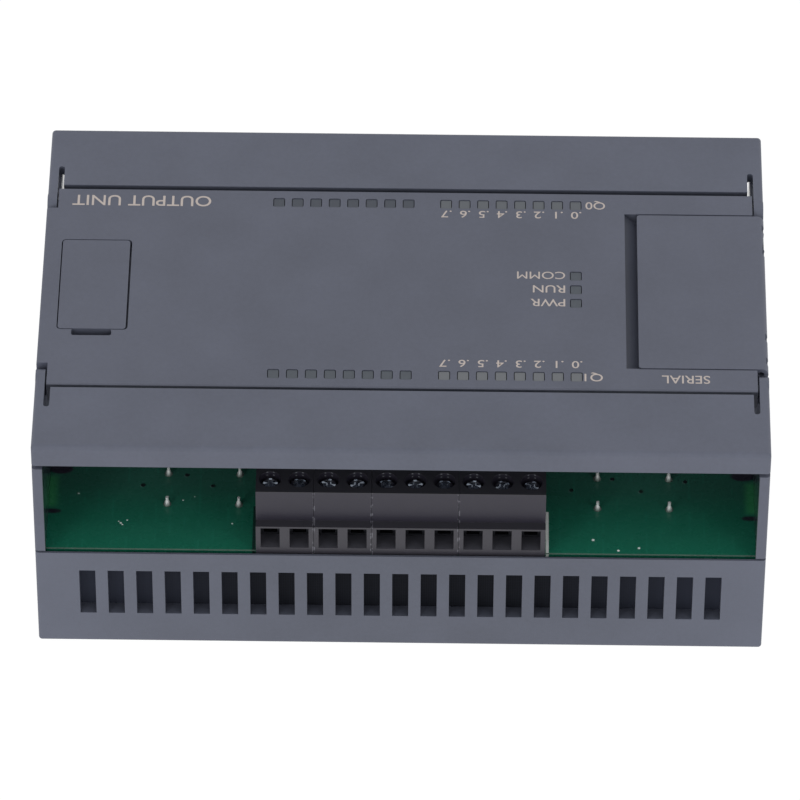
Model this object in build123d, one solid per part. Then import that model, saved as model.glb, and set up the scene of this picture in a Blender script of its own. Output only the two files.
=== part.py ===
from build123d import *
import os

# A 16-relay output module for an industrial controller, lying on its back.
# X runs along the rail, Y across it, and Z out of the front face.
# The origin is the middle of the back plane.  All sizes are millimetres.

# Driving dimensions of the whole housing
WIDTH = 128.0
DEPTH = 82.0
HEIGHT = 48.0
HALF_W = WIDTH / 2
HALF_D = DEPTH / 2

# Base shell
BASE_TOP = 22.0
LONG_WALL = 2.5
END_WALL = 2.4
FLOOR = 2.0
CORNER_RADIUS = 0.6
EDGE_RADIUS = 0.5
REBATE_LIP = 0.4
END_REBATE = 0.7
VENT_COUNT = 23
VENT_PITCH = 5.0
VENT_WIDTH = 2.85
VENT_LOW = 7.1
VENT_HIGH = 17.7
SCREEN_THICK = 0.4
SCREEN_HALF_W = 60.0

# 35 mm rail channel and its sliding latch
CHANNEL_HALF = 17.9
CHANNEL_DEPTH = 7.8
CHANNEL_WALL = 1.8
GRIP_REACH = 16.3
GRIP_LOW = 4.0
GRIP_HIGH = 6.4
HOOK_CENTRE = 36.0
HOOK_LENGTH = 22.0
LATCH_HALF = 10.0
LATCH_TRAVEL = 4.0
LATCH_PLATE_LOW = 0.3
LATCH_PLATE_HIGH = 2.4
LATCH_NOSE_BACK = 20.2
LATCH_END = 40.6
LATCH_GAP = 0.3
LATCH_WING = 1.0

# Circuit boards
BOARD_THICK = 1.6
MAIN_TOP = 21.6
MAIN_LOW = MAIN_TOP - BOARD_THICK
MAIN_HALF_W = 62.2
MAIN_HALF_D = 39.5
LOGIC_TOP = 39.6
LOGIC_LOW = LOGIC_TOP - BOARD_THICK
LOGIC_HALF_W = 60.0
LOGIC_HALF_D = 23.0

# Front cover
COVER_LOW = 22.5
PLATE = 2.0
PLATE_LOW = HEIGHT - PLATE
CENTRE_HALF = 19.95
TAB_HALF_W = 62.0
TAB_HALF_D = 25.2
SIDE_WALL = 1.85
SIDE_TOP = 42.55
PARTITION = 1.8
SHELF_LOW = 30.0
LOWER_PARTITION = 19.0
TONGUE_IN = 0.8
TONGUE_WALL = 0.8

# Terminal doors, each hinged on two ears
DOOR_EDGE = 26.05
DOOR_LIP_LOW = 43.4
DOOR_SKIN = 1.8
EAR_INNER = 62.3
PIVOT_Y = 22.6
PIVOT_Z = 45.7
EAR_RADIUS = HEIGHT - PIVOT_Z
HINGE_PIN = 1.2
HINGE_PIN_END = 60.6
HINGE_CLEARANCE = 0.05
SLIT_INNER = 61.25
SLIT_END = 30.9
RIB_INNER = 61.85
DOOR_TOP_RADIUS = 0.8
FACE_EDGE_RADIUS = 0.4

# Port door at the right end, hinged along Y
PORT_LEFT = 41.25
PORT_HALF = 19.65
GROOVE_LEFT = 39.15
GROOVE_STEP = 0.5
GROOVE_DEEP = 2.2
ROLL_RADIUS = 1.3
PORT_PIVOT_X = HALF_W - ROLL_RADIUS
PORT_PIVOT_Z = HEIGHT - ROLL_RADIUS
PORT_PIN = 0.5
LUG_RADIUS = 0.9
LUG_NECK = 0.75
ROLL_SKIN = 0.35
LUG_PLACES = (-17.0, -11.0, 11.0, 17.0)
LUG_LENGTH = 1.2
LUG_GAP = 0.2
WELL_LOW = 40.2
PORT_WELL = (43.2, 61.4, -17.5, 17.5)

# Cover over the setting switches at the left end
LID = (-60.7, -48.75, -11.2, 11.55)
LID_OPENING = (-60.9, -48.4, -11.4, 11.75)
LID_WELL = (-59.7, -49.7, -10.2, 10.55)
LID_THICK = 1.6
LID_PLUG_DEEP = 2.0
LID_RADIUS = 0.8
PRY_NOTCH = (-58.3, -51.2, -12.9, -11.3)
PRY_DEEP = 3.0

# Indicator windows and light pipes
WINDOW_W = 2.1
WINDOW_D = 2.3
FAR_WINDOW_Y = 22.0
NEAR_WINDOW_Y = -22.05
GROUP_SIZE = 8
WINDOW_PITCH = 3.306
LEFT_GROUP_X = -22.55
RIGHT_GROUP_X = 7.3
STATUS_X = 30.4
STATUS_Y = (3.6, 0.1, -3.4)
WINDOW_RADIUS = 0.35
WINDOW_RECESS = 0.12
PIPE_GAP = 0.13
PIPE_LOW = 40.9
RUNNER_LOW = 44.4

# Screw terminals
POLE_PITCH = 5.07
BLOCK_POLES = (2, 2, 3, 3)
POLES = sum(BLOCK_POLES)
ENTRY_FACE = 40.2
UPPER_FACE = 38.5
BLOCK_BACK = 30.0
LEDGE = 28.3
BLOCK_TOP = 35.2
ENTRY_WIDTH = 3.35
ENTRY_LOW = 23.2
ENTRY_HIGH = 27.9
ENTRY_BACK = 33.4
SCREW_Y = 35.3
WELL_RADIUS = 1.95
WELL_FLOOR = 33.2
HEAD_RADIUS = 1.8
HEAD_TALL = 1.35
HEAD_RIM = 0.35
RECESS_LENGTH = 2.5
RECESS_WIDTH = 0.55
RECESS_DEEP = 0.6
SCREW_TURN = 37.0
SHANK_RADIUS = 1.15
SHANK_LOW = 26.4
CAGE_SETBACK = 1.6

# Relays hanging under the main board, and their soldered pins
RELAYS_PER_ROW = 8
RELAY_PITCH = 12.65
RELAY_FIRST_X = -41.3
RELAY_W = 10.0
RELAY_INNER = 20.0
RELAY_OUTER = 37.0
RELAY_LOW = 7.4
PIN_ROWS = (20.7, 28.2)
PIN_TALL = 1.8
PIN_RADIUS = 0.27
SOLDER_TALL = 1.1
SOLDER_BASE = 0.65
PAD_RADIUS = 0.72
PAD_THICK = 0.06

# Fasteners
HOUSING_SCREWS = [(x, y) for x in (-36.0, 36.0) for y in (-9.0, 9.0)]
BASE_BOSSES = [(x, y) for x in (-56.0, 56.0) for y in (-10.0, 10.0)]
LOGIC_BOSSES = [(x, y) for x in (-20.0, 20.0) for y in (-15.0, 15.0)]
SCREW_RADIUS = 1.4
POST_RADIUS = 3.2

# Setting switches
SWITCHES = 6
SWITCH_PITCH = 2.54
DIP_X = -54.7
DIP_Y = 0.2
DIP_W = 9.0
DIP_D = 16.6
DIP_TOP = 44.0
SLIDER_TRAVEL = 1.8
SLIDER_W = 1.5
SLIDER_D = 1.0
SLIDER_REST = DIP_X - 1.8
SLIDER_TOP = 44.6

# Serial socket under the port door
SOCKET_X = 52.0


def block(x0, x1, y0, y1, z0, z1):
    """A box between two corners."""
    size = Box(abs(x1 - x0), abs(y1 - y0), abs(z1 - z0))
    return Pos((x0 + x1) / 2, (y0 + y1) / 2, (z0 + z1) / 2) * size


def post(radius, x, y, z0, z1):
    """An upright cylinder."""
    return Pos(x, y, (z0 + z1) / 2) * Cylinder(radius, z1 - z0)


def rod_x(radius, x0, x1, y, z):
    """A cylinder along X."""
    return Pos((x0 + x1) / 2, y, z) * Rot(0, 90, 0) * Cylinder(radius, abs(x1 - x0))


def rod_y(radius, x, y0, y1, z):
    """A cylinder along Y."""
    return Pos(x, (y0 + y1) / 2, z) * Rot(90, 0, 0) * Cylinder(radius, abs(y1 - y0))


def far_side(shape):
    """The same shape on the other long side."""
    return mirror(shape, about=Plane.XZ)


def both_sides(shape):
    return shape + far_side(shape)


def other_end(shape):
    """The same shape at the other end."""
    return mirror(shape, about=Plane.YZ)


def both_ends(shape):
    return shape + other_end(shape)


def save(name, shape):
    export_step(shape, f"parts/{name}.step")


def save_group(name, solids):
    """Several separate solids in one file."""
    export_step(Compound(children=list(solids)), f"parts/{name}.step")


def base_housing():
    """Tray with vented long walls, a rail channel along its back and screw bosses."""
    tray = block(-HALF_W, HALF_W, -HALF_D, HALF_D, 0, BASE_TOP)
    tray = fillet(tray.edges().filter_by(Axis.Z), CORNER_RADIUS)
    tray = fillet(tray.faces().sort_by(Axis.Z)[0].edges(), EDGE_RADIUS)
    inner_w = HALF_W - END_WALL
    inner_d = HALF_D - LONG_WALL
    tray -= block(-inner_w, inner_w, -inner_d, inner_d, FLOOR, BASE_TOP)

    # The main board drops into a rebate round the rim
    seat_w = inner_w + END_REBATE
    seat_d = HALF_D - REBATE_LIP
    tray -= block(-seat_w, seat_w, -seat_d, seat_d, MAIN_LOW, BASE_TOP)

    # Rail channel: a raised roof with side walls, then two fixed hooks
    wall = CHANNEL_HALF + CHANNEL_WALL
    roof = CHANNEL_DEPTH + CHANNEL_WALL
    tray += block(-inner_w, inner_w, -wall, wall, 0, roof)
    tray -= block(-HALF_W - 1, HALF_W + 1, -CHANNEL_HALF, CHANNEL_HALF, -1, CHANNEL_DEPTH)
    for x in (-HOOK_CENTRE, HOOK_CENTRE):
        ends = (x - HOOK_LENGTH / 2, x + HOOK_LENGTH / 2)
        tray += block(*ends, -CHANNEL_HALF - 0.5, -GRIP_REACH, GRIP_LOW, GRIP_HIGH)

    # Tunnel that guides the latch
    tunnel = LATCH_HALF + LATCH_WING + 1.8
    tray += block(-tunnel, tunnel, CHANNEL_HALF, inner_d + 0.5, 0.5, VENT_LOW - 0.1)
    side = LATCH_HALF + LATCH_GAP
    tray -= block(-side, side, CHANNEL_HALF - 1, HALF_D + 1, -1, LATCH_PLATE_HIGH + LATCH_GAP)
    nose_end = LATCH_NOSE_BACK + LATCH_TRAVEL + LATCH_GAP
    tray -= block(-side, side, CHANNEL_HALF - 1, nose_end, -1, GRIP_HIGH + LATCH_GAP)
    groove = side + LATCH_WING
    tray -= block(-groove, groove, LATCH_NOSE_BACK, 36.6, 0.8, LATCH_PLATE_HIGH)

    # Vents in both long walls
    slots = []
    for i in range(VENT_COUNT):
        x = (i - (VENT_COUNT - 1) / 2) * VENT_PITCH
        ends = (x - VENT_WIDTH / 2, x + VENT_WIDTH / 2)
        slots.append(block(*ends, -HALF_D - 1, -inner_d + 0.5, VENT_LOW, VENT_HIGH))
        slots.append(block(*ends, HALF_D + 1, inner_d - 0.5, VENT_LOW, VENT_HIGH))
    tray -= slots

    # Sleeves for the long housing screws and pillars for the board screws
    for x, y in HOUSING_SCREWS:
        tray += post(POST_RADIUS, x, y, roof - 0.5, MAIN_LOW)
        tray -= post(SCREW_RADIUS + 0.2, x, y, CHANNEL_DEPTH - 1, MAIN_LOW + 1)
    for x, y in BASE_BOSSES:
        tray += post(POST_RADIUS, x, y, roof - 0.5, MAIN_LOW)
        tray -= post(SCREW_RADIUS - 0.3, x, y, MAIN_LOW - 8, MAIN_LOW + 1)
    return tray


def dust_screen():
    """Thin mesh behind the near vents, between the latch tunnel and the main board."""
    outer = HALF_D - LONG_WALL
    return block(-SCREEN_HALF_W, SCREEN_HALF_W, -outer, SCREEN_THICK - outer, VENT_LOW - 0.1, MAIN_LOW)


def main_board():
    board = block(-MAIN_HALF_W, MAIN_HALF_W, -MAIN_HALF_D, MAIN_HALF_D, MAIN_LOW, MAIN_TOP)
    for x, y in HOUSING_SCREWS + BASE_BOSSES:
        board -= post(SCREW_RADIUS + 0.2, x, y, MAIN_LOW - 1, MAIN_TOP + 1)
    return board


def logic_board():
    board = block(-LOGIC_HALF_W, LOGIC_HALF_W, -LOGIC_HALF_D, LOGIC_HALF_D, LOGIC_LOW, LOGIC_TOP)
    for x, y in HOUSING_SCREWS:
        board -= post(POST_RADIUS + 0.4, x, y, LOGIC_LOW - 1, LOGIC_TOP + 1)
    for x, y in LOGIC_BOSSES:
        board -= post(SCREW_RADIUS, x, y, LOGIC_LOW - 1, LOGIC_TOP + 1)
    return board


def window_places():
    """The middles of each group of indicator windows, by light pipe name."""
    steps = [i * WINDOW_PITCH for i in range(GROUP_SIZE)]
    left = [LEFT_GROUP_X + s for s in steps]
    right = [RIGHT_GROUP_X + s for s in steps]
    return {
        "light_pipe_far_left": [(x, FAR_WINDOW_Y) for x in left],
        "light_pipe_far_right": [(x, FAR_WINDOW_Y) for x in right],
        "light_pipe_near_left": [(x, NEAR_WINDOW_Y) for x in left],
        "light_pipe_near_right": [(x, NEAR_WINDOW_Y) for x in right],
        "light_pipe_status": [(STATUS_X, y) for y in STATUS_Y],
    }


def light_pipe(places):
    """Clear bar with one upright prism under each window of a group."""
    xs = [x for x, y in places]
    ys = [y for x, y in places]
    half_w = WINDOW_W / 2 - PIPE_GAP
    half_d = WINDOW_D / 2 - PIPE_GAP
    top = HEIGHT - WINDOW_RECESS
    ends = (min(xs) - half_w, max(xs) + half_w, min(ys) - half_d, max(ys) + half_d)
    pipe = block(*ends, RUNNER_LOW, PLATE_LOW)
    for x, y in places:
        outline = (x - half_w, x + half_w, y - half_d, y + half_d)
        pipe += rounded_block(outline, WINDOW_RADIUS - PIPE_GAP, PIPE_LOW, top)
    return pipe


def front_cover():
    """Upper shell: face plate, two tabs, end walls and the walls behind the terminals."""
    cover = block(-HALF_W, HALF_W, -CENTRE_HALF, CENTRE_HALF, PLATE_LOW, HEIGHT)
    long_edges = cover.faces().sort_by(Axis.Z)[-1].edges().filter_by(Axis.Y)
    cover = fillet(long_edges, FACE_EDGE_RADIUS)
    inner_w = HALF_W - SIDE_WALL
    end = block(inner_w, HALF_W, -HALF_D, HALF_D, COVER_LOW, SIDE_TOP)
    end = fillet(end.edges().filter_by(Axis.Z).group_by(Axis.X)[-1], CORNER_RADIUS)
    end += block(inner_w, HALF_W, -CENTRE_HALF, CENTRE_HALF, SIDE_TOP - 1, PLATE_LOW)
    tongue = HALF_W - TONGUE_IN
    end += block(tongue - TONGUE_WALL, tongue, 1 - HALF_D, HALF_D - 1, BASE_TOP, COVER_LOW + 1)
    cover += both_ends(end)

    # Tabs that carry the indicator windows, with a chamfer where the doors swing past
    tab = block(-TAB_HALF_W, TAB_HALF_W, -TAB_HALF_D, -CENTRE_HALF + 1, PLATE_LOW, HEIGHT)
    tab = chamfer(tab.edges().group_by(Axis.Y)[0].group_by(Axis.Z)[-1], 0.25)
    inner_d = TAB_HALF_D - PARTITION
    tab += block(-inner_w - 0.5, inner_w + 0.5, -TAB_HALF_D, -inner_d, SHELF_LOW, SIDE_TOP)
    tab += block(-TAB_HALF_W, TAB_HALF_W, -TAB_HALF_D, -inner_d, SIDE_TOP - 1, HEIGHT - 1)
    lower = LOWER_PARTITION - PARTITION
    tab += block(-inner_w, inner_w, -TAB_HALF_D, -lower, SHELF_LOW, SHELF_LOW + PARTITION)
    tab += block(-inner_w + 0.1, inner_w - 0.1, -LOWER_PARTITION, -lower, MAIN_TOP, SHELF_LOW + 1)
    boss = block(HINGE_PIN_END - 1.4, TAB_HALF_W, -TAB_HALF_D, -CENTRE_HALF, SIDE_TOP, PLATE_LOW + 1)
    tab += both_ends(boss)
    bore = rod_x(HINGE_PIN + HINGE_CLEARANCE, HINGE_PIN_END - 0.2, HALF_W + 1, -PIVOT_Y, PIVOT_Z)
    tab -= both_ends(bore)
    cover += both_sides(tab)

    # Sealed ends of the middle room, between the face and the terminal rooms
    gusset = block(LOGIC_HALF_W + 0.6, TAB_HALF_W, -TAB_HALF_D, TAB_HALF_D, SHELF_LOW, SIDE_TOP)
    cover += both_ends(gusset)

    # Port well under its door, the sloping finger groove, and room for the hinge roll
    x0, x1, y0, y1 = PORT_WELL
    rim = CENTRE_HALF + 0.8
    cover += block(GROOVE_LEFT - 1.0, HALF_W - 2.0, -rim, rim, WELL_LOW, PLATE_LOW)
    cover -= block(x0, x1, y0, y1, WELL_LOW - 1, HEIGHT + 1)
    cover -= block(PORT_LEFT, HALF_W + 1, -CENTRE_HALF, CENTRE_HALF, PLATE_LOW, HEIGHT + 1)
    roll_room = PORT_PIVOT_Z - ROLL_RADIUS - 0.2
    cover -= block(x1 - 0.2, HALF_W + 1, -CENTRE_HALF, CENTRE_HALF, roll_room, HEIGHT + 1)
    wedge = Polyline((GROOVE_LEFT, HEIGHT - GROOVE_STEP), (PORT_LEFT + 0.1, HEIGHT - GROOVE_DEEP),
                     (PORT_LEFT + 0.1, HEIGHT + 1), (GROOVE_LEFT, HEIGHT + 1), close=True)
    groove = extrude(Plane.XZ * make_face(wedge), CENTRE_HALF - 0.1, both=True)
    cover -= groove
    for y in LUG_PLACES:
        ends = (y - LUG_LENGTH / 2, y + LUG_LENGTH / 2)
        neck = (PORT_PIVOT_X - LUG_NECK, PORT_PIVOT_X + LUG_NECK)
        lug = block(*neck, *ends, roll_room - 0.5, PORT_PIVOT_Z)
        lug += rod_y(LUG_RADIUS, PORT_PIVOT_X, *ends, PORT_PIVOT_Z)
        lug -= rod_y(PORT_PIN, PORT_PIVOT_X, *ends, PORT_PIVOT_Z)
        cover += lug

    # Opening, ledge and well for the switch lid, with its pry notch
    x0, x1, y0, y1 = LID_OPENING
    ledge = HEIGHT - LID_THICK
    cover += block(x0 - 0.7, x1 + 0.7, PRY_NOTCH[2] - 0.8, y1 + 0.7, WELL_LOW, PLATE_LOW)
    cover -= rounded_block(LID_OPENING, LID_RADIUS, ledge, HEIGHT + 1)
    cover -= rounded_block(LID_WELL, LID_RADIUS, WELL_LOW - 1, HEIGHT + 1)
    cover -= rounded_block(PRY_NOTCH, 0.5, HEIGHT - PRY_DEEP, HEIGHT + 1)

    # Windows for the light pipes
    windows = []
    for places in window_places().values():
        for x, y in places:
            outline = (x - WINDOW_W / 2, x + WINDOW_W / 2, y - WINDOW_D / 2, y + WINDOW_D / 2)
            windows.append(rounded_block(outline, WINDOW_RADIUS, PLATE_LOW - 1, HEIGHT + 1))
    cover -= windows

    # Posts for the long housing screws and bosses that carry the logic board
    for x, y in HOUSING_SCREWS:
        cover += post(POST_RADIUS, x, y, MAIN_TOP, PLATE_LOW + 1)
        cover -= post(SCREW_RADIUS, x, y, MAIN_TOP - 1, MAIN_TOP + 12)
    for x, y in LOGIC_BOSSES:
        cover += post(SCREW_RADIUS + 1.0, x, y, LOGIC_TOP, PLATE_LOW + 1)
        cover -= post(SCREW_RADIUS - 0.3, x, y, LOGIC_TOP - 1, LOGIC_TOP + 5)
    return cover


def rounded_block(corners, radius, z0, z1):
    """A box with rounded upright edges, from (x0, x1, y0, y1)."""
    solid = block(*corners, z0, z1)
    return fillet(solid.edges().filter_by(Axis.Z), radius)


def terminal_door():
    """Near terminal door: plate, outer lip, end skirts and two hinge ears with pins."""
    door = block(-HALF_W, HALF_W, -HALF_D, -PIVOT_Y, DOOR_LIP_LOW, HEIGHT)
    door = fillet(door.edges().filter_by(Axis.Z).group_by(Axis.Y)[0], CORNER_RADIUS)
    top = door.faces().sort_by(Axis.Z)[-1]
    door = fillet(top.edges().group_by(Axis.Y)[0], DOOR_TOP_RADIUS)
    room_w = EAR_INNER
    room_d = HALF_D - DOOR_SKIN
    door -= block(-room_w, room_w, -room_d, 0, DOOR_LIP_LOW - 1, PLATE_LOW)
    door -= block(-room_w, room_w, -DOOR_EDGE, 0, DOOR_LIP_LOW - 1, HEIGHT + 1)

    # The lower inner edge is bevelled so that it swings past the cover's tab
    bevel = Polyline((-DOOR_EDGE, PLATE_LOW), (-DOOR_EDGE, PLATE_LOW + 0.5),
                     (-DOOR_EDGE - 0.5, PLATE_LOW), close=True)
    door -= extrude(Plane.YZ * make_face(bevel), room_w, both=True)

    # Slits that free the ears
    slit_w = EAR_INNER - SLIT_INNER
    slit_mid = (SLIT_INNER + EAR_INNER) / 2
    round_y = -SLIT_END + slit_w / 2
    slit = block(SLIT_INNER, EAR_INNER, round_y, 0, PLATE_LOW - 1, HEIGHT + 1)
    slit += post(slit_w / 2, slit_mid, round_y, PLATE_LOW - 1, HEIGHT + 1)
    door -= both_ends(slit)

    # Ribs under the slits stiffen the end skirts
    rib = block(RIB_INNER, EAR_INNER + 0.5, -room_d - 0.5, -DOOR_EDGE - 0.15, DOOR_LIP_LOW, PLATE_LOW)
    door += both_ends(rib)

    # Rounded ears with their hinge pins
    ear = rod_x(EAR_RADIUS, EAR_INNER, HALF_W, -PIVOT_Y, PIVOT_Z)
    ear += rod_x(HINGE_PIN, HINGE_PIN_END, EAR_INNER, -PIVOT_Y, PIVOT_Z)
    door += both_ends(ear)
    return door


def port_door():
    """Flush plate whose right edge is a roll round the hinge pin, hollowed for the lugs."""
    left = PORT_LEFT + 0.1
    door = block(left, PORT_PIVOT_X, -PORT_HALF, PORT_HALF, PLATE_LOW, HEIGHT)
    door = fillet(door.edges().filter_by(Axis.Z).group_by(Axis.X)[0], CORNER_RADIUS)
    door += rod_y(ROLL_RADIUS, PORT_PIVOT_X, -PORT_HALF, PORT_HALF, PORT_PIVOT_Z)
    door -= rod_y(PORT_PIN + HINGE_CLEARANCE, PORT_PIVOT_X, -PORT_HALF, PORT_HALF, PORT_PIVOT_Z)
    for y in LUG_PLACES:
        ends = (y - LUG_LENGTH / 2 - LUG_GAP, y + LUG_LENGTH / 2 + LUG_GAP)
        room = LUG_RADIUS + 0.1
        door -= rod_y(room, PORT_PIVOT_X, *ends, PORT_PIVOT_Z)
        door -= block(PORT_PIVOT_X - room, HALF_W + 1, *ends, PLATE_LOW - 2, PORT_PIVOT_Z)
        door -= block(PORT_PIVOT_X, HALF_W + 1, *ends, PORT_PIVOT_Z - 1, HEIGHT - ROLL_SKIN)
    return door


def port_hinge_pin():
    end = LUG_PLACES[-1] + LUG_LENGTH
    return rod_y(PORT_PIN, PORT_PIVOT_X, -end, end, PORT_PIVOT_Z)


def switch_cover():
    """Lift-off lid with a hollow plug that grips its opening."""
    ledge = HEIGHT - LID_THICK
    lid = rounded_block(LID, LID_RADIUS - 0.2, ledge, HEIGHT)
    x0, x1, y0, y1 = LID_WELL
    plug = (x0 + 0.2, x1 - 0.2, y0 + 0.2, y1 - 0.2)
    lid += rounded_block(plug, LID_RADIUS - 0.2, ledge - LID_PLUG_DEEP, ledge)
    lid -= block(x0 + 1.2, x1 - 1.2, y0 + 1.2, y1 - 1.2, ledge - LID_PLUG_DEEP - 1, ledge)
    return lid


def rail_latch():
    """Slider with a nose under the rail's edge, guided by two wings."""
    outline = Polyline(
        (LATCH_END, LATCH_PLATE_LOW), (LATCH_END, LATCH_PLATE_HIGH),
        (LATCH_NOSE_BACK, LATCH_PLATE_HIGH), (LATCH_NOSE_BACK, GRIP_HIGH),
        (GRIP_REACH, GRIP_HIGH), (GRIP_REACH, GRIP_HIGH - 0.8),
        (GRIP_REACH + 2.1, GRIP_LOW - 0.8), (GRIP_REACH + 2.1, LATCH_PLATE_LOW), close=True)
    latch = extrude(Plane.YZ * make_face(outline), LATCH_HALF, both=True)
    wing = LATCH_HALF + LATCH_WING
    latch += block(-wing, wing, LATCH_NOSE_BACK + 0.3, 32.2, 1.0, LATCH_PLATE_HIGH - 0.2)
    latch -= block(-3.5, 3.5, LATCH_END - 4.5, LATCH_END - 1.8, -1, LATCH_PLATE_HIGH + 1)
    return latch


def pole_places():
    """The middle of each terminal pole along X."""
    return [(i - (POLES - 1) / 2) * POLE_PITCH for i in range(POLES)]


def terminal_block(poles):
    """Near-side insulating body for the poles at the given places."""
    x0 = poles[0] - POLE_PITCH / 2 + 0.03
    x1 = poles[-1] + POLE_PITCH / 2 - 0.03
    outline = Polyline(
        (-ENTRY_FACE, MAIN_TOP), (-ENTRY_FACE, LEDGE), (-UPPER_FACE, LEDGE),
        (-UPPER_FACE, BLOCK_TOP), (-BLOCK_BACK, BLOCK_TOP), (-BLOCK_BACK, MAIN_TOP), close=True)
    body = Pos((x0 + x1) / 2, 0, 0) * extrude(
        Plane.YZ * make_face(outline), (x1 - x0) / 2, both=True)
    for x in poles:
        half = ENTRY_WIDTH / 2
        body -= block(x - half, x + half, -ENTRY_FACE - 1, -ENTRY_BACK, ENTRY_LOW, ENTRY_HIGH)
        body -= post(WELL_RADIUS, x, -SCREW_Y, WELL_FLOOR, BLOCK_TOP + 1)
        body -= post(SHANK_RADIUS + 0.1, x, -SCREW_Y, ENTRY_HIGH - 1, WELL_FLOOR + 1)
    return body


def terminal_screw(x, turn):
    """Domed clamping screw with a cross recess, turned by an angle."""
    head_top = WELL_FLOOR + HEAD_TALL
    rise = HEAD_TALL - HEAD_RIM
    dome_radius = (HEAD_RADIUS ** 2 + rise ** 2) / (2 * rise)
    dome = Pos(x, -SCREW_Y, head_top - dome_radius) * Sphere(dome_radius)
    head = post(HEAD_RADIUS, x, -SCREW_Y, WELL_FLOOR, head_top) & dome
    for angle in (turn, turn + 90):
        bar = Rot(0, 0, angle) * Box(RECESS_LENGTH, RECESS_WIDTH, 2 * RECESS_DEEP)
        head -= Pos(x, -SCREW_Y, head_top) * bar
    return head + post(SHANK_RADIUS, x, -SCREW_Y, SHANK_LOW, WELL_FLOOR)


def clamp_cage(x):
    """Square metal sleeve that the screw draws up onto the wire."""
    half = ENTRY_WIDTH / 2 - 0.05
    low = ENTRY_LOW + 0.05
    high = ENTRY_HIGH - 0.05
    front = -UPPER_FACE + CAGE_SETBACK
    back = -ENTRY_BACK - 0.2
    cage = block(x - half, x + half, front, back, low, high)
    cage -= block(x - half + 0.45, x + half - 0.45, front - 1, back + 1, low + 0.45, high - 0.7)
    cage -= post(SHANK_RADIUS + 0.05, x, -SCREW_Y, ENTRY_LOW + 1.5, ENTRY_HIGH + 1)
    return cage


def relay(x, side):
    """Sealed relay hanging under the board; side is -1 near or 1 far."""
    ends = (x - RELAY_W / 2, x + RELAY_W / 2)
    case = block(*ends, side * RELAY_INNER, side * RELAY_OUTER, RELAY_LOW, MAIN_LOW)
    return fillet(case.edges().filter_by(Axis.Z) + case.faces().sort_by(Axis.Z)[0].edges(), 0.4)


def relay_places():
    return [RELAY_FIRST_X + i * RELAY_PITCH for i in range(RELAYS_PER_ROW)]


def relay_pin(x, y):
    """Soldered pin end: a thin pad and a cone of solder round the pin."""
    pad = post(PAD_RADIUS, x, y, MAIN_TOP, MAIN_TOP + PAD_THICK)
    cone = Pos(x, y, MAIN_TOP + SOLDER_TALL / 2) * Cone(SOLDER_BASE, PIN_RADIUS, SOLDER_TALL)
    return pad + cone + post(PIN_RADIUS, x, y, MAIN_TOP, MAIN_TOP + PIN_TALL)


def indicator_lamp(x, y):
    return block(x - 0.8, x + 0.8, y - 0.6, y + 0.6, LOGIC_TOP, LOGIC_TOP + 0.8)


def pan_screw(x, y, head_z, tip_z):
    """Pan-head screw from the underside of its head to its tip, along Z either way."""
    up = 1 if tip_z > head_z else -1
    head = post(2.4, x, y, *sorted((head_z, head_z - up * 1.6)))
    return head + post(SCREW_RADIUS - 0.3, x, y, *sorted((head_z, tip_z)))


def dip_switch():
    """Switch body with one slot for each slider."""
    half_w = DIP_W / 2
    half_d = DIP_D / 2
    body = block(DIP_X - half_w, DIP_X + half_w, DIP_Y - half_d, DIP_Y + half_d, LOGIC_TOP, DIP_TOP)
    for y in slider_places():
        slot = (SLIDER_REST - SLIDER_W / 2 - 0.1, SLIDER_REST + SLIDER_TRAVEL + SLIDER_W / 2 + 0.1)
        gap = SLIDER_D / 2 + 0.1
        body -= block(*slot, y - gap, y + gap, DIP_TOP - 1.5, DIP_TOP + 1)
    return body


def slider_places():
    return [DIP_Y + (i - (SWITCHES - 1) / 2) * SWITCH_PITCH for i in range(SWITCHES)]


def dip_slider(y):
    ends = (SLIDER_REST - SLIDER_W / 2, SLIDER_REST + SLIDER_W / 2)
    return block(*ends, y - SLIDER_D / 2, y + SLIDER_D / 2, DIP_TOP - 1.45, SLIDER_TOP)


def serial_connector_shell():
    """Nine-way socket: flange, D-shaped steel skirt and two threaded posts."""
    flange = block(SOCKET_X - 6.25, SOCKET_X + 6.25, -15.4, 15.4, LOGIC_TOP, LOGIC_TOP + 0.8)
    skirt = extrude(socket_outline(0.0), 5.2) - extrude(socket_outline(0.5), 5.2)
    shell = flange + skirt
    for y in (-12.5, 12.5):
        shell += Pos(SOCKET_X, y, LOGIC_TOP + 0.8) * extrude(RegularPolygon(2.6, 6), 4.6)
        shell -= post(1.2, SOCKET_X, y, LOGIC_TOP + 1.2, LOGIC_TOP + 8)
    return shell


def socket_outline(inset):
    """The D shape of the socket, at the top of its flange."""
    half_w = 3.95 - inset
    wide = 8.15 - inset
    narrow = 7.0 - inset
    corners = Polyline((-half_w, -narrow), (half_w, -wide), (half_w, wide), (-half_w, narrow), close=True)
    face = make_face(corners)
    return Pos(SOCKET_X, 0, LOGIC_TOP + 0.8) * fillet(face.vertices(), 1.2 - inset)


def serial_connector_insert():
    """Insulator that fills the socket, with nine contact holes."""
    insert = extrude(socket_outline(0.55), 4.7)
    top = LOGIC_TOP + 0.8 + 4.7
    for column, count in ((1.42, 5), (-1.42, 4)):
        for i in range(count):
            y = (i - (count - 1) / 2) * 2.77
            insert -= post(0.55, SOCKET_X + column, y, top - 3, top + 1)
    return insert


os.makedirs("parts", exist_ok=True)

save("base_housing", base_housing())
save("front_cover", front_cover())
save("near_door", terminal_door())
save("far_door", far_side(terminal_door()))
save("port_door", port_door())
save("port_hinge_pin", port_hinge_pin())
save("switch_cover", switch_cover())
save("rail_latch", rail_latch())
save_group("dust_screens", [dust_screen(), far_side(dust_screen())])
save("main_board", main_board())
save("logic_board", logic_board())

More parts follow.
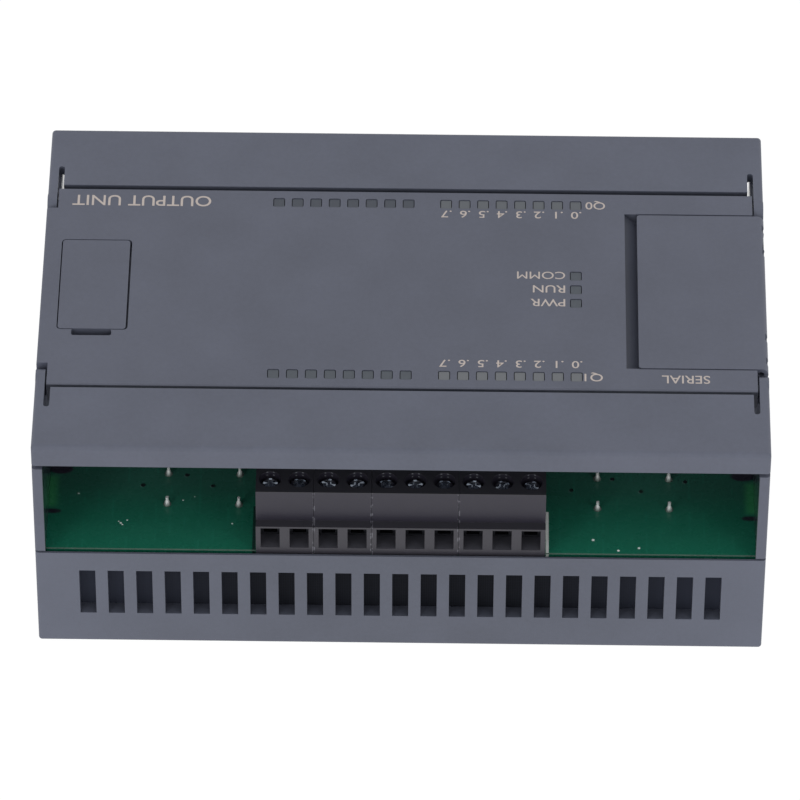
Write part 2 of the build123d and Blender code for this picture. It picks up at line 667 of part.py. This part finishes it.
# Terminal blocks of 2, 2, 3 and 3 poles on each side, with their screws and cages
first = 0
for number, count in enumerate(BLOCK_POLES, start=1):
    near_block = terminal_block(pole_places()[first:first + count])
    save(f"near_terminal_block_{number}", near_block)
    save(f"far_terminal_block_{number}", far_side(near_block))
    first += count
near_screws = [terminal_screw(x, i * SCREW_TURN) for i, x in enumerate(pole_places())]
near_cages = [clamp_cage(x) for x in pole_places()]
save_group("near_terminal_screws", near_screws)
save_group("far_terminal_screws", [far_side(s) for s in near_screws])
save_group("near_clamp_cages", near_cages)
save_group("far_clamp_cages", [far_side(c) for c in near_cages])

# Sixteen relays in two rows, and the solder joints above them
for number, x in enumerate(relay_places(), start=1):
    save(f"relay_{number:02d}", relay(x, -1))
    save(f"relay_{number + RELAYS_PER_ROW:02d}", relay(x, 1))
pin_rows = [side * row for side in (-1, 1) for row in PIN_ROWS]
save_group("relay_pins", [relay_pin(x, y) for x in relay_places() for y in pin_rows])

# Indicators
lamps = []
for name, places in window_places().items():
    save(name, light_pipe(places))
    lamps += [indicator_lamp(x, y) for x, y in places]
save_group("leds", lamps)

# Electronics of the middle room
save_group("board_headers", [
    block(-25, 25, -2.5, 2.5, MAIN_TOP, SHELF_LOW),
    block(-25, 25, -2.2, 2.2, SHELF_LOW, LOGIC_LOW),
])
save("microcontroller", block(-17, -3, 4, 18, LOGIC_TOP, LOGIC_TOP + 1.4))
save_group("power_capacitors", [post(4.0, x, 0, MAIN_TOP, MAIN_TOP + 11.5) for x in (-52, -43, 43)])
save_group("relay_drivers", [
    block(x - 5, x + 5, y - 2, y + 2, MAIN_TOP, MAIN_TOP + 1.6)
    for x in (-18, 18) for y in (-10, 10)
])

# Fasteners
screws = [pan_screw(x, y, CHANNEL_DEPTH, MAIN_TOP + 10) for x, y in HOUSING_SCREWS]
screws += [pan_screw(x, y, MAIN_TOP, MAIN_TOP - 8) for x, y in BASE_BOSSES]
screws += [pan_screw(x, y, LOGIC_LOW, LOGIC_TOP + 4) for x, y in LOGIC_BOSSES]
save_group("assembly_screws", screws)

# Setting switches and serial socket
save("dip_switch", dip_switch())
for number, y in enumerate(slider_places(), start=1):
    save(f"dip_slider_{number}", dip_slider(y))
save("serial_connector_shell", serial_connector_shell())
save("serial_connector_insert", serial_connector_insert())
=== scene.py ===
import math
import bmesh
import bpy
from mathutils import Matrix, Vector


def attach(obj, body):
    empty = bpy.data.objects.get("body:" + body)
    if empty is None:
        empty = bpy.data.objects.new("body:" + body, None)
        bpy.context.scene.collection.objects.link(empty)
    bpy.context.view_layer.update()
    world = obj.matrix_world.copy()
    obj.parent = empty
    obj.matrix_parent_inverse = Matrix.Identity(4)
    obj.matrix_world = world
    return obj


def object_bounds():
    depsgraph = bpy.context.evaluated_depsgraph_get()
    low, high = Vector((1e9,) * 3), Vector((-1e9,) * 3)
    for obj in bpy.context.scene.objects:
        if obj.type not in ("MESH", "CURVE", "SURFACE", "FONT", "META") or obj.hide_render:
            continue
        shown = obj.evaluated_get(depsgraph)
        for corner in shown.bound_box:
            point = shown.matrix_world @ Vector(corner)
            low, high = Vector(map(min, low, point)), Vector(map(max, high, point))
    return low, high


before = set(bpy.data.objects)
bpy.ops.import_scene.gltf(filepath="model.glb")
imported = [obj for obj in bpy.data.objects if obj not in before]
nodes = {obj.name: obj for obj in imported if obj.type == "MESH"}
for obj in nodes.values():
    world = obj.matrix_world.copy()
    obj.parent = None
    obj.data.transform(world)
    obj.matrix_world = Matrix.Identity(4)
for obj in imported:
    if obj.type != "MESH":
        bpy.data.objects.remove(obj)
cad_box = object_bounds()


# Camera: a long lens on a stand in front of the module, which looks down on its face and on
# the near row of terminals.  The three turns are in degrees.
STAND = Vector((0.0082, -0.9437, 0.9390))
HEADING = 0.533
PITCH = 45.774
ROLL = 0.271
camera_data = bpy.data.cameras.new("camera")
camera_data.lens = 330.6
camera_data.sensor_width = 36.0
camera_data.clip_end = 20.0
camera = bpy.data.objects.new("camera", camera_data)
turn = (
    Matrix.Rotation(math.radians(HEADING), 4, "Z")
    @ Matrix.Rotation(math.radians(PITCH), 4, "X")
    @ Matrix.Rotation(math.radians(ROLL), 4, "Z")
)
camera.matrix_world = Matrix.Translation(STAND) @ turn
bpy.context.scene.collection.objects.link(camera)
bpy.context.scene.camera = camera


# Studio: an even white room, with two small softboxes in front that put the glints on the
# screws and on the solder.
ROOM_STRENGTH = 0.9
world = bpy.data.worlds.new("studio")
world.use_nodes = True
room = world.node_tree.nodes["Background"]
room.inputs["Color"].default_value = (1.0, 1.0, 1.0, 1.0)
room.inputs["Strength"].default_value = ROOM_STRENGTH
bpy.context.scene.world = world
bpy.context.scene.view_settings.view_transform = "Standard"
MODULE_MIDDLE = (0.0, 0.0, 0.02)


def soft_light(name, place, size, watts):
    """A square softbox at a place, facing the module."""
    data = bpy.data.lights.new(name, "AREA")
    data.size = size
    data.energy = watts
    lamp = bpy.data.objects.new(name, data)
    lamp.location = place
    facing = Vector(MODULE_MIDDLE) - Vector(place)
    lamp.rotation_euler = facing.to_track_quat("-Z", "Y").to_euler()
    bpy.context.scene.collection.objects.link(lamp)


soft_light("softbox_left", (-0.55, -0.80, 0.40), 0.25, 1.3)
soft_light("softbox_right", (0.60, -0.70, 0.50), 0.2, 0.7)


# Sweep: a wide sheet of white paper under the module.  It lies a little below the back face,
# so that the two don't share a plane, and its paper shines by itself to stay white.
SWEEP_HALF = 4.0
SWEEP_DROP = 0.0002
MM = 0.001
sweep = bmesh.new()
bmesh.ops.create_grid(sweep, x_segments=1, y_segments=1, size=SWEEP_HALF)
bmesh.ops.translate(sweep, verts=sweep.verts, vec=(0.0, 0.0, -SWEEP_DROP))
floor_mesh = bpy.data.meshes.new("floor")
sweep.to_mesh(floor_mesh)
sweep.free()
floor = bpy.data.objects.new("floor", floor_mesh)
bpy.context.scene.collection.objects.link(floor)


class Sig:
    """A shader socket that takes part in Python arithmetic by adding Math nodes."""

    def __init__(self, mat, socket):
        self.mat = mat
        self.socket = socket

    def _math(self, operation, *values):
        return self.mat.node("ShaderNodeMath", {"operation": operation}, dict(enumerate(values)))

    def __add__(self, other):
        return self._math("ADD", self, other)

    def __sub__(self, other):
        return self._math("SUBTRACT", self, other)

    def __rsub__(self, other):
        return self._math("SUBTRACT", other, self)

    def __mul__(self, other):
        return self._math("MULTIPLY", self, other)

    def __truediv__(self, other):
        return self._math("DIVIDE", self, other)

    def __pow__(self, other):
        return self._math("POWER", self, other)

    def __gt__(self, other):
        return self._math("GREATER_THAN", self, other)

    def __lt__(self, other):
        return self._math("LESS_THAN", self, other)

    __radd__ = __add__
    __rmul__ = __mul__

    def size(self):
        """The value without its sign."""
        return self._math("ABSOLUTE", self)

    def least(self, other):
        return self._math("MINIMUM", self, other)

    def most(self, other):
        return self._math("MAXIMUM", self, other)

    def fold(self, step):
        """Runs up from 0 to a step and down again, over and over."""
        return self._math("PINGPONG", self, step)

    def within(self, middle, half):
        """1 where the value is within half of the middle."""
        return (self - middle).size() < half

    def between(self, low, high):
        """0 below low, 1 above high, and a smooth rise between."""
        settings = {"interpolation_type": "SMOOTHSTEP"}
        values = {"Value": self, "From Min": low, "From Max": high}
        return self.mat.node("ShaderNodeMapRange", settings, values)


class Finish:
    """A procedural material with one Principled shader."""

    def __init__(self, name, roughness, metallic=0.0):
        self.material = bpy.data.materials.new(name)
        self.material.use_nodes = True
        self.tree = self.material.node_tree
        self.shader = self.tree.nodes["Principled BSDF"]
        self.paint("Roughness", roughness)
        self.paint("Metallic", metallic)
        self.place = self.node("ShaderNodeTexCoord", out="Object")

    def node(self, kind, settings=None, values=None, out=0):
        """Adds a node with its settings and the values or links of its sockets."""
        made = self.tree.nodes.new(kind)
        for key, value in (settings or {}).items():
            setattr(made, key, value)
        for key, value in (values or {}).items():
            if isinstance(value, Sig):
                self.tree.links.new(value.socket, made.inputs[key])
            else:
                made.inputs[key].default_value = value
        return Sig(self, made.outputs[out])

    def xyz(self):
        """Object X, Y and Z in millimetres."""
        split = self.node("ShaderNodeSeparateXYZ", {}, {0: self.place}).socket.node
        return [Sig(self, axis) * (1.0 / MM) for axis in split.outputs]

    def noise(self, scale, detail=3.0, roughness=0.5):
        """Noise from 0 to 1; scale is in features per metre."""
        values = {"Vector": self.place, "Scale": scale, "Detail": detail, "Roughness": roughness}
        return self.node("ShaderNodeTexNoise", {}, values)

    def pits(self, scale):
        """Distance to the nearest random point; scale is in points per metre."""
        return self.node("ShaderNodeTexVoronoi", {}, {"Vector": self.place, "Scale": scale})

    def blend(self, mask, first, second):
        """Mixes two colours by a mask."""
        values = {0: mask, 6: self.colour(first), 7: self.colour(second)}
        return self.node("ShaderNodeMix", {"data_type": "RGBA"}, values, out=2)

    @staticmethod
    def colour(value):
        return value if isinstance(value, Sig) else (*value, 1.0)

    def paint(self, socket, value):
        """Links a shader socket, or sets it to a constant."""
        if isinstance(value, Sig):
            self.tree.links.new(value.socket, self.shader.inputs[socket])
        else:
            self.shader.inputs[socket].default_value = value

    def mottle(self, scale, first, second):
        """Colours the whole surface between two shades."""
        self.paint("Base Color", self.blend(self.noise(scale), first, second))

    def relief(self, height, depth, strength=1.0):
        """Bump from a height of 0 to 1, with the depth in metres."""
        values = {"Height": height, "Distance": depth, "Strength": strength}
        self.paint("Normal", self.node("ShaderNodeBump", {}, values))


paper = Finish("studio_paper", 1.0)
paper.mottle(3.0, (0.02, 0.02, 0.02), (0.03, 0.03, 0.03))
paper.paint("Emission Color", (1.0, 1.0, 1.0, 1.0))
paper.paint("Emission Strength", 1.0)
paper.paint("Specular IOR Level", 0.0)
floor.data.materials.append(paper.material)


# Case: both shells, the doors and the lid are moulded in one blue-grey ABS.  The outside is
# spark-eroded and matt.  The inside of the end walls is smooth and mirrors the board's edge;
# it also carries painted shade and a painted green reflection.
HALF_LENGTH = 64.0

# Each place is a middle and a half width, and each slope or glow a start and an end, in mm
GROOVE_ACROSS = (40.2, 1.12)
GROOVE_ALONG = (0.0, 19.9)
GROOVE_RISE = (46.485, 1.485)
GROOVE_SLOPE = (39.3, 41.0)
VENT_WALL = (39.75, 1.2)
VENT_RISE = (12.4, 5.4)
VENT_ROW = (0.0, 60.0)
GAP_EDGE = (25.62, 0.46)
GAP_RISE = (45.9, 1.9)
GAP_ROW = (0.0, 61.9)
END_WALL = (62.15, 0.06)
END_WALL_RISE = (32.35, 10.15)
BOARD_TOP = 21.6
GLOW_START = (20.6, 22.2)
WALL_GLOW_END = (28.4, 29.8)
WALL_GLOW_TOP = (28.0, 38.0)
SHADOW = (0.008, 0.010, 0.016)


def dress(finish, *names):
    """Gives CAD nodes a finish."""
    for name in names:
        slots = nodes[name].data.materials
        slots.clear()
        slots.append(finish.material)


def named(start):
    """The CAD nodes whose names start so."""
    return [name for name in nodes if name.startswith(start)]


def case_plastic(name, tint, painted_end_light):
    """Spark-eroded ABS, mottled and pitted; the last argument paints light towards each end."""
    finish = Finish(name, 0.55)
    x, y, z = finish.xyz()
    cloud = finish.noise(90.0)
    grain = finish.noise(1100.0, 4.0, 0.75)
    pits = finish.pits(3300.0)
    dark, light, painted_end_tint = [tuple(c * shade for c in tint) for shade in (0.68, 1.32, 2.0)]
    skin = finish.blend(cloud * 0.45 + grain * 0.55, dark, light)
    # Painted light: the case grows lighter towards each end.
    skin = finish.blend((x / HALF_LENGTH) ** 2.0 * painted_end_light, skin, painted_end_tint)

    # Painted shade in the finger groove, on the vents' inside faces and in the gaps beside the
    # doors
    groove = x.within(*GROOVE_ACROSS) * y.within(*GROOVE_ALONG) * z.within(*GROOVE_RISE)
    vents = y.size().within(*VENT_WALL) * z.within(*VENT_RISE) * x.within(*VENT_ROW)
    gaps = y.size().within(*GAP_EDGE) * z.within(*GAP_RISE) * x.within(*GAP_ROW)
    shade = groove * (0.52 - x.between(*GROOVE_SLOPE) * 0.4)
    skin = finish.blend(shade.most(vents * 0.25).most(gaps * 0.45), skin, SHADOW)

    # Inside of the end walls: glossy, painted dark as shade, with a painted reflection of the
    # board's green glow
    inside = x.size().within(*END_WALL) * z.within(*END_WALL_RISE)
    reach = y.size() - (z - BOARD_TOP) * 1.03
    painted_glow = reach.between(*GLOW_START) * (1.0 - reach.between(*WALL_GLOW_END))
    painted_glow = painted_glow * (1.0 - z.between(*WALL_GLOW_TOP))
    wall_shade_and_glow = finish.blend(painted_glow * 0.8, (0.014, 0.033, 0.030), (0.016, 0.10, 0.045))
    finish.paint("Base Color", finish.blend(inside * 0.9, skin, wall_shade_and_glow))
    finish.paint("Roughness", (grain * 0.16 + 0.5) * (1.0 - inside * 0.65))
    finish.relief((grain * 0.6 + pits * 0.6) * (1.0 - inside * 0.9), 0.03 * MM, 0.5)
    return finish


# The parts get slightly different tints of the one ABS: painted light and shade for how each is
# lit.
base_abs = case_plastic("base_grey_abs", (0.078, 0.086, 0.117), 0.24)
cover_abs = case_plastic("cover_grey_abs", (0.083, 0.091, 0.125), 0.06)
door_abs = case_plastic("door_grey_abs", (0.087, 0.096, 0.132), 0.03)
dress(base_abs, "base_housing")
dress(cover_abs, "front_cover", "port_door", "switch_cover")
dress(door_abs, "near_door", "far_door")


# Light pipes: clear acrylic tinted smoke grey, pressed into the cover from inside so that each
# window is nearly flush.  The groups with numbered channels, on the right, are the lighter ones.
GROUP_SPLIT = 5.0
EDGE_ROWS = 15.0
pipe = Finish("smoked_acrylic", 0.45)
x, y, z = pipe.xyz()
smoke = pipe.blend(pipe.noise(900.0), (0.046, 0.056, 0.070), (0.064, 0.076, 0.094))
numbered = (x > GROUP_SPLIT) * (y.size() > EDGE_ROWS)
smoke = pipe.blend(numbered * (0.45 + (y < 0.0) * 0.45), smoke, (0.125, 0.133, 0.145))
far_left = (x < GROUP_SPLIT) * (y > EDGE_ROWS)
pipe.paint("Base Color", pipe.blend(far_left * 0.35, smoke, (0.015, 0.018, 0.038)))
pipe.paint("Roughness", pipe.noise(900.0) * 0.15 + 0.38)
dress(pipe, *named("light_pipe"))


# Boards: glass-epoxy under green solder mask, held by the shells.  Faint tracks, vias and white
# print show through, the cut edge has a painted highlight, and both long sides have the same
# layout.

# Vias and print dots are (along, across, radius) in millimetres, with across from the middle
VIAS = [
    (-45.7, 23.5, 0.42), (-33.3, 23.5, 0.40), (-38.0, 20.9, 0.42), (30.0, 23.6, 0.40),
    (42.35, 23.7, 0.42), (37.3, 20.7, 0.40), (50.2, 21.2, 0.40),
]
PRINT_DOTS = [
    (33.79, 35.91, 0.26), (38.21, 38.48, 0.23), (41.83, 37.80, 0.23), (-57.0, 25.8, 0.18),
    (-49.3, 33.0, 0.20), (-49.0, 33.4, 0.14), (-49.7, 32.6, 0.14), (-48.2, 32.3, 0.15),
    (-29.7, 32.9, 0.18), (-38.5, 27.2, 0.13), (-36.5, 26.3, 0.12),
]
VIA_GLINT_OFFSET = 0.18
TRACK_PITCH = 2.54
TRACK_WIDTH = 0.32
BOARD_GLOW_ROW = (60.0, 61.7)
BOARD_GLOW_END = (28.2, 29.8)
EDGE_OVAL = (61.4, 30.2, 1.5, 0.55)
CORNER_OVAL = (60.4, 19.7, 2.2, 1.2)
PRINT_LINE = (25.72, 0.26)
PRINT_LINE_END = 29.1
SHADOW_LINE = (-25.75, 0.3)
SHADOW_LINE_END = 28.5
BACK_TO_FRONT = (22.0, 38.0)
EDGE_HIGHLIGHT_FROM = 39.25
board = Finish("green_solder_mask", 0.2)
x, y, z = board.xyz()
across = y.size()


def oval(along, across, place):
    """1 on the edge of an oval, and less inside it."""
    middle_x, middle_y, half_x, half_y = place
    return ((along - middle_x) / half_x) ** 2.0 + ((across - middle_y) / half_y) ** 2.0


def dots(along, across, places):
    """Mask of round spots at (along, across, radius)."""
    mask = 0.0
    for spot_x, spot_y, radius in places:
        mask = mask + (((along - spot_x) ** 2.0 + (across - spot_y) ** 2.0) < radius * radius)
    return mask


cloud = board.noise(260.0, 4.0)
# Painted light and shade: the board is lighter at the front and darker towards the back.
shaded_back = board.blend(cloud, (0.014, 0.108, 0.072), (0.020, 0.130, 0.088))
lit_front = board.blend(cloud, (0.006, 0.132, 0.078), (0.010, 0.160, 0.096))
green = board.blend(across.between(*BACK_TO_FRONT), shaded_back, lit_front)
tracks = (x.fold(TRACK_PITCH / 2) < TRACK_WIDTH / 2) * (board.noise(240.0, 0.0) > 0.55)
green = board.blend(tracks * 0.3, green, (0.02, 0.20, 0.13))
# Painted light: a brighter green glow near both ends, standing in for light that comes through
# the board.
painted_glow = across.between(*GLOW_START) * (1.0 - across.between(*BOARD_GLOW_END))
painted_glow = painted_glow * x.size().between(*BOARD_GLOW_ROW)
green = board.blend(painted_glow * 0.75, green, (0.045, 0.30, 0.11))
# Dark ovals on the board near both ends
dark_ovals = oval(x.size(), across, EDGE_OVAL).least(oval(x.size(), across, CORNER_OVAL))
green = board.blend(1.0 - dark_ovals.between(0.6, 1.3), green, (0.022, 0.020, 0.034))
# Painted highlights: a light crescent on each via, offset to one side of the hole.
via_glints = [(along - VIA_GLINT_OFFSET, out + VIA_GLINT_OFFSET, radius) for along, out, radius in VIAS]
green = board.blend(dots(x, across, via_glints) * 0.6, green, (0.10, 0.20, 0.17))
green = board.blend(dots(x, across, VIAS), green, (0.004, 0.012, 0.010))
shadow_line = x.within(*SHADOW_LINE) * (across > SHADOW_LINE_END)
green = board.blend(shadow_line * 0.8, green, (0.006, 0.010, 0.012))
white = dots(x, across, PRINT_DOTS).most(x.within(*PRINT_LINE) * (across > PRINT_LINE_END))
green = board.blend(white, green, (0.88, 0.92, 0.89))
# Painted highlight along the top of the cut edge
edge_highlight = (across > EDGE_HIGHLIGHT_FROM) * (z > BOARD_TOP - 0.1)
board.paint("Base Color", board.blend(edge_highlight, green, (0.12, 0.20, 0.16)))
board.paint("Roughness", board.noise(500.0) * 0.15 + 0.2)
dress(board, "main_board", "logic_board")


# Terminal bodies: blocks of two and three poles in dark grey polyamide, soldered side by side to
# the board.  Painted shade darkens the upper faces, the tops and the ledges, painted glints sit
# on the wells' walls, painted light fills the wire holes, and the seams carry light specks.
POLE_PITCH = 5.07
ROW_HALF = 5 * POLE_PITCH
SEAMS_AT = (-3, -1, 2)
SEAM_HALF = 0.22
BLOCK_TOP = 35.1
LEDGE = (28.3, 0.05)
LEDGE_EDGE = 38.6
UPPER_RISE = (31.7, 3.35)
WELL_LINE = (33.45, 0.3)
WELL_SIDE = (1.96, 0.14)
WELL_RIM = (35.0, 0.1)
WELL_RING = (34.3, 0.1)
ENTRY_WALL = (36.8, 3.3)
ENTRY_RISE = (25.5, 2.4)
ENTRY_SIDE = 0.8
TOP_SHADE = (0.021, 0.021, 0.027)
polyamide = Finish("black_polyamide", 0.5)
x, y, z = polyamide.xyz()
out = y.size()
from_side = (x + ROW_HALF).fold(POLE_PITCH / 2)
skin = polyamide.blend(polyamide.noise(500.0), (0.027, 0.026, 0.034), (0.035, 0.033, 0.044))
# Painted shade: the upper faces darker than the faces with the wire holes
shaded_upper = z.within(*UPPER_RISE) * (out < LEDGE_EDGE)
skin = polyamide.blend(shaded_upper * 0.5, skin, (0.010, 0.008, 0.022))
# Painted shade: the tops near black, and the ledges darker
shaded_tops = (z > BLOCK_TOP).most(z.within(*LEDGE) * (out > LEDGE_EDGE) * 0.55)
skin = polyamide.blend(shaded_tops, skin, TOP_SHADE)
# Painted glints on the back walls of the screw wells
glint = z.within(*WELL_RIM).most(z.within(*WELL_RING))
glint = glint * from_side.within(*WELL_SIDE) * out.within(*WELL_LINE)
skin = polyamide.blend(glint * 0.6, skin, (0.30, 0.32, 0.35))
# Painted light inside the wire holes
lit_holes = (from_side > ENTRY_SIDE) * out.within(*ENTRY_WALL) * z.within(*ENTRY_RISE)
skin = polyamide.blend(lit_holes * 0.5, skin, (0.075, 0.077, 0.093))
seams = 0.0
for step in SEAMS_AT:
    seams = seams + x.within(step * POLE_PITCH, SEAM_HALF)
# Light specks along the seams
seam_specks = seams * (polyamide.noise(1300.0, 2.0) > 0.56) * (z < BLOCK_TOP)
polyamide.paint("Base Color", polyamide.blend(seam_specks * 0.6, skin, (0.16, 0.16, 0.19)))
polyamide.relief(polyamide.noise(2500.0), 0.02 * MM)
dress(polyamide, *named("near_terminal_block"), *named("far_terminal_block"))


# Terminal metal: nickel-plated screws with domed heads turn in the wells, and each draws a dull
# steel cage up against the wire.
chrome = Finish("polished_screws", 0.16, 1.0)
chrome.mottle(1200.0, (0.38, 0.41, 0.45), (0.50, 0.53, 0.58))
chrome.paint("Roughness", chrome.noise(1500.0) * 0.08 + 0.12)
dress(chrome, "near_terminal_screws", "far_terminal_screws")
cage = Finish("dull_cages", 0.5, 1.0)
cage.mottle(700.0, (0.045, 0.048, 0.058), (0.08, 0.083, 0.098))
dress(cage, "near_clamp_cages", "far_clamp_cages")


# Zinc-plated steel: the port door's hinge pin, the screws that hold the shells and boards
# together, and the shell of the serial socket.
zinc = Finish("zinc_plate", 0.3, 1.0)
zinc.mottle(700.0, (0.42, 0.42, 0.43), (0.60, 0.60, 0.61))
zinc.paint("Roughness", zinc.noise(1500.0) * 0.25 + 0.22)
dress(zinc, "port_hinge_pin", "assembly_screws", "serial_connector_shell")


# Solder: bright tin that has drawn up the relays' pins in a cone, darker towards the foot of
# each joint.
DARK_FOOT = (21.7, 22.6)
tin = Finish("bright_solder", 0.25, 0.4)
x, y, z = tin.xyz()
bright = tin.blend(tin.noise(1500.0), (0.86, 0.88, 0.88), (0.99, 0.99, 0.99))
tin.paint("Base Color", tin.blend(z.between(*DARK_FOOT), (0.16, 0.20, 0.18), bright))
dress(tin, "relay_pins")


# Dust mesh: woven navy nylon behind both rows of vents, so fine that it reads as a dark sheet.
# It is painted lighter towards each end of the rows, where more light reaches it.
THREAD_PITCH = 0.4
THREAD_WIDTH = 0.14
LIT_ROW = (20.0, 55.0)
nylon = Finish("navy_mesh", 0.8)
x, y, z = nylon.xyz()
upright = x.fold(THREAD_PITCH / 2) < THREAD_WIDTH / 2
level = z.fold(THREAD_PITCH / 2) < THREAD_WIDTH / 2
weave = nylon.blend(upright.most(level) * 0.8, (0.006, 0.007, 0.011), (0.012, 0.014, 0.022))
lit = x.size().between(*LIT_ROW) * 0.8
nylon.paint("Base Color", nylon.blend(lit, weave, (0.032, 0.037, 0.058)))
nylon.paint("Specular IOR Level", 0.2)
dress(nylon, "dust_screens")


# Relays: sealed power relays in dark glossy cases, two rows of eight that hang from the main
# board by their soldered pins.
RELAY_COUNT = 16
relay_case = Finish("dark_relay_case", 0.45)
relay_case.mottle(300.0, (0.012, 0.013, 0.017), (0.020, 0.021, 0.027))
dress(relay_case, *[f"relay_{number:02d}" for number in range(1, RELAY_COUNT + 1)])


# Black mouldings: the chips and headers on the boards, the sleeves of the capacitors, the body
# of the serial socket and the sliding latch for the rail.
black = Finish("black_moulding", 0.5)
black.mottle(500.0, (0.012, 0.012, 0.013), (0.022, 0.022, 0.024))
dress(black, "board_headers", "microcontroller", "relay_drivers", "power_capacitors")
dress(black, "serial_connector_insert", "rail_latch")


# Setting switch and lamps: the switch has a red body with six ivory sliders, and the lamps on
# the logic board under the light pipes have ivory lenses.
red = Finish("red_moulding", 0.35)
red.mottle(500.0, (0.28, 0.015, 0.012), (0.36, 0.02, 0.016))
dress(red, "dip_switch")
ivory = Finish("ivory_moulding", 0.4)
ivory.mottle(800.0, (0.72, 0.70, 0.62), (0.80, 0.78, 0.70))
dress(ivory, "leds", *named("dip_slider"))


# Lettering: beige pad print on the face plate, read from the far side.  Each word is a flat film
# of ink a few hundredths of a millimetre above the plastic.
INK_FILM = 0.00002
PRINT_TOP = cad_box[1][2] + INK_FILM
FONT_CAPITAL = 0.729
FONT_STRETCH = 1.12
BOLD = 0.005
ink = Finish("beige_ink", 0.6)
ink.mottle(4000.0, (0.42, 0.37, 0.34), (0.50, 0.44, 0.41))


def printed(name, words, start, foot, capital, length=None, bold=BOLD):
    """Lettering turned half round, so that it reads from its start towards lower X."""
    curve = bpy.data.curves.new(name, "FONT")
    curve.body = words
    curve.resolution_u = 6
    curve.offset = bold
    text = bpy.data.objects.new(name, curve)
    mesh = bpy.data.meshes.new_from_object(text)
    mesh.name = name
    bpy.data.objects.remove(text)
    xs = [v.co.x for v in mesh.vertices]
    tall = capital * MM / FONT_CAPITAL
    wide = length * MM / (max(xs) - min(xs)) if length else tall * FONT_STRETCH
    to_start = Matrix.Translation((-min(xs), 0.0, 0.0))
    scale = Matrix.Diagonal((-wide, -tall, 1.0, 1.0))
    to_place = Matrix.Translation((start * MM, foot * MM, PRINT_TOP))
    mesh.transform(to_place @ scale @ to_start)
    piece = bpy.data.objects.new(name, mesh)
    bpy.context.scene.collection.objects.link(piece)
    mesh.materials.append(ink.material)
    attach(piece, "housing")


# Each word has its start, the foot of its line, the height of its capitals and its length, in mm
printed("print_title", "OUTPUT UNIT", -34.7, 23.35, 2.8, 24.8)
printed("print_serial", "SERIAL", 53.7, -21.5, 2.05, 8.4)
printed("print_q0", "Q0", 35.7, 22.85, 1.95, 3.5)
printed("print_q1", "Q1", 35.0, -21.3, 1.95, 3.2)
printed("print_pwr", "PWR", 28.5, -2.4, 1.95, 6.1)
printed("print_run", "RUN", 28.5, 1.1, 1.95, 5.7)
printed("print_comm", "COMM", 28.5, 4.6, 1.95, 8.5, bold=0.0)
CHANNEL_COUNT = 8
CHANNEL_PITCH = 3.306
CHANNEL_START = 31.45
CHANNEL_CAPITAL = 1.85
FAR_FOOT = 20.25
NEAR_FOOT = -18.15
for channel in range(CHANNEL_COUNT):
    start = CHANNEL_START - channel * CHANNEL_PITCH
    printed(f"print_far_{channel}", f".{channel}", start, FAR_FOOT, CHANNEL_CAPITAL)
    printed(f"print_near_{channel}", f".{channel}", start, NEAR_FOOT, CHANNEL_CAPITAL)
